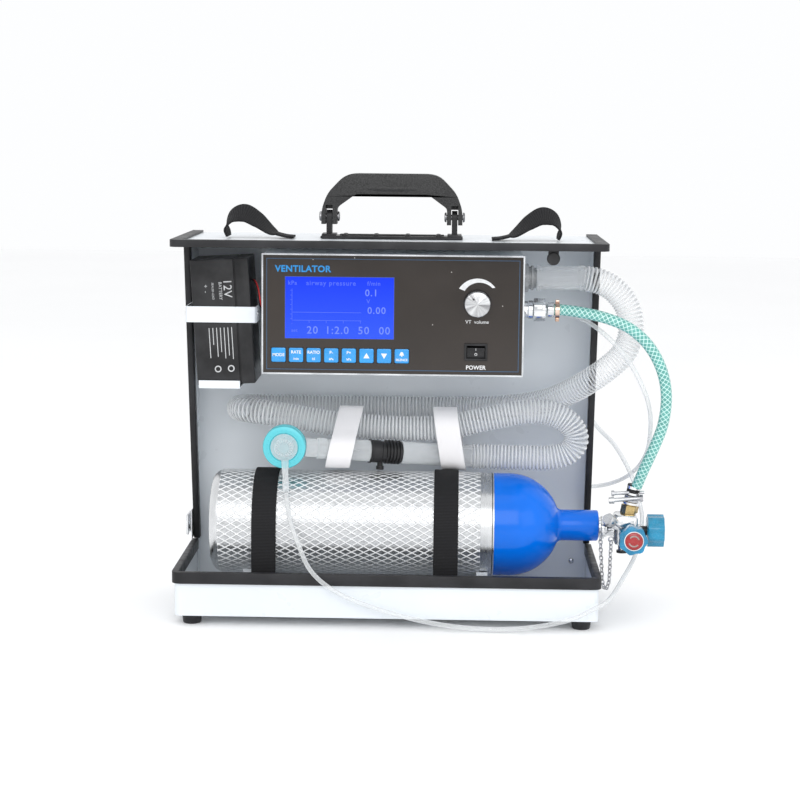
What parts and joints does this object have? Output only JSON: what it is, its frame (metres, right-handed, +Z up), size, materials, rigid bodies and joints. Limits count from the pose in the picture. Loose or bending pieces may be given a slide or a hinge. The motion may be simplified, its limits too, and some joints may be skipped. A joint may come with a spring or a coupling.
{
  "type": "mechanical ventilator",
  "caption": "Portable ventilator: open steel carrying case with control unit, battery, oxygen cylinder, valve, breathing hose and exhalation valve.",
  "frame": {"origin": "centre of the case and valve's footprint, on the floor that the feet stand on", "axes": "+X from the case's latch side to the cylinder valve, +Y from the open front to the back panel, +Z up"},
  "size_m": [0.5302, 0.2257, 0.473],
  "materials": {
    "white_paint": "semi-gloss powder coat",
    "black_rubber": "matt",
    "black_plastic": "satin moulded",
    "steel": "satin",
    "chrome": "polished",
    "brass": "satin",
    "panel_gloss": "glossy film over aluminium",
    "screen": "glossy display glass",
    "key_blue": "glossy",
    "board_green": "solder resist",
    "grey_plastic": "satin moulded",
    "cylinder_paint": "brushed, with a painted dome and a net sleeve",
    "wheel_blue": "glossy",
    "webbing": "woven webbing",
    "white_strap": "hook-and-loop",
    "clear_hose": "clear flexible plastic",
    "valve_teal": "translucent moulded",
    "oxygen_green": "braided translucent hose"
  },
  "bodies": {
    "case": {"base_tray": "white_paint", "back_shell": "white_paint", "top_plate": "white_paint", "unit_housing": "white_paint", "battery_bracket": "white_paint", "cylinder_cradle": "white_paint", "trim_top": "black_rubber", "trim_tray": "black_rubber", "trim_left": "black_rubber", "trim_right": "black_rubber", "foot_1": "black_rubber", "foot_2": "black_rubber", "foot_3": "black_rubber", "foot_4": "black_rubber", "battery_lead": "black_rubber", "latch_base": "chrome", "gas_inlet": "chrome", "valve_body": "chrome", "handle_base": "black_plastic", "switch_bezel": "black_plastic", "battery": "black_plastic", "patient_connector": "black_plastic", "handle_pin_left": "steel", "handle_pin_right": "steel", "hose_clamp": "steel", "dust_cap": "steel", "cap_chain": "steel", "shoulder_strap_left": "webbing", "shoulder_strap_right": "webbing", "cylinder_strap_left": "webbing", "cylinder_strap_right": "webbing", "front_panel": "panel_gloss", "lcd_module": "screen", "volume_valve": "grey_plastic", "breathing_port": "grey_plastic", "main_board": "board_green", "solenoid_valve": "brass", "hose_fitting": "brass", "cylinder_body": "cylinder_paint", "hose_tie_left": "white_strap", "hose_tie_right": "white_strap", "breathing_hose": "clear_hose", "control_tube": "clear_hose", "exhalation_valve": "valve_teal", "oxygen_hose": "oxygen_green"},
    "handle": {"handle_grip": "black_plastic"},
    "volume_control": {"volume_knob": "chrome"},
    "rocker": {"power_rocker": "black_plastic"},
    "union_nut": {"inlet_nut": "chrome"},
    "front_wheel": {"front_handwheel": "wheel_blue"},
    "side_wheel": {"side_handwheel": "wheel_blue"},
    "latch_flap": {"latch_lever": "chrome"},
    "mode_key_body": {"mode_key": "key_blue"},
    "rate_key_body": {"rate_key": "key_blue"},
    "ratio_key_body": {"ratio_key": "key_blue"},
    "pressure_low_key_body": {"pressure_low_key": "key_blue"},
    "pressure_high_key_body": {"pressure_high_key": "key_blue"},
    "up_key_body": {"up_key": "key_blue"},
    "down_key_body": {"down_key": "key_blue"},
    "silence_key_body": {"silence_key": "key_blue"}
  },
  "joints": [
    {"name": "handle_fold", "type": "hinge", "parent": "case", "child": "handle", "pos_m": [-0.03277, 0.008, 0.427], "axis": [1, 0, 0], "range_deg": [-88, 88]},
    {"name": "volume_turn", "type": "hinge", "parent": "case", "child": "volume_control", "pos_m": [0.05922, -0.052, 0.3403], "axis": [0, 1, 0], "range_deg": [-150, 120]},
    {"name": "power_rock", "type": "hinge", "parent": "case", "child": "rocker", "pos_m": [0.05833, -0.049, 0.289], "axis": [1, 0, 0], "range_deg": [-16, 0]},
    {"name": "inlet_nut_spin", "type": "hinge", "parent": "case", "child": "union_nut", "pos_m": [0.12483, -0.037, 0.333], "axis": [1, 0, 0], "continuous": true},
    {"name": "front_handwheel_turn", "type": "hinge", "parent": "case", "child": "front_wheel", "pos_m": [0.22823, -0.052, 0.09], "axis": [0, 1, 0], "range_deg": [0, 540]},
    {"name": "side_handwheel_turn", "type": "hinge", "parent": "case", "child": "side_wheel", "pos_m": [0.25522, -0.017, 0.093], "axis": [1, 0, 0], "range_deg": [0, 720]},
    {"name": "latch_open", "type": "hinge", "parent": "case", "child": "latch_flap", "pos_m": [-0.26177, 0.086, 0.0755], "axis": [0, 0, 1], "range_deg": [-110, 0]},
    {"name": "mode_key_press", "type": "slide", "parent": "case", "child": "mode_key_body", "axis": [0, 1, 0], "range_m": [0, 0.0006], "stiffness_N_per_m": 400},
    {"name": "rate_key_press", "type": "slide", "parent": "case", "child": "rate_key_body", "axis": [0, 1, 0], "range_m": [0, 0.0006], "stiffness_N_per_m": 400},
    {"name": "ratio_key_press", "type": "slide", "parent": "case", "child": "ratio_key_body", "axis": [0, 1, 0], "range_m": [0, 0.0006], "stiffness_N_per_m": 400},
    {"name": "pressure_low_key_press", "type": "slide", "parent": "case", "child": "pressure_low_key_body", "axis": [0, 1, 0], "range_m": [0, 0.0006], "stiffness_N_per_m": 400},
    {"name": "pressure_high_key_press", "type": "slide", "parent": "case", "child": "pressure_high_key_body", "axis": [0, 1, 0], "range_m": [0, 0.0006], "stiffness_N_per_m": 400},
    {"name": "up_key_press", "type": "slide", "parent": "case", "child": "up_key_body", "axis": [0, 1, 0], "range_m": [0, 0.0006], "stiffness_N_per_m": 400},
    {"name": "down_key_press", "type": "slide", "parent": "case", "child": "down_key_body", "axis": [0, 1, 0], "range_m": [0, 0.0006], "stiffness_N_per_m": 400},
    {"name": "silence_key_press", "type": "slide", "parent": "case", "child": "silence_key_body", "axis": [0, 1, 0], "range_m": [0, 0.0006], "stiffness_N_per_m": 400}
  ]
}
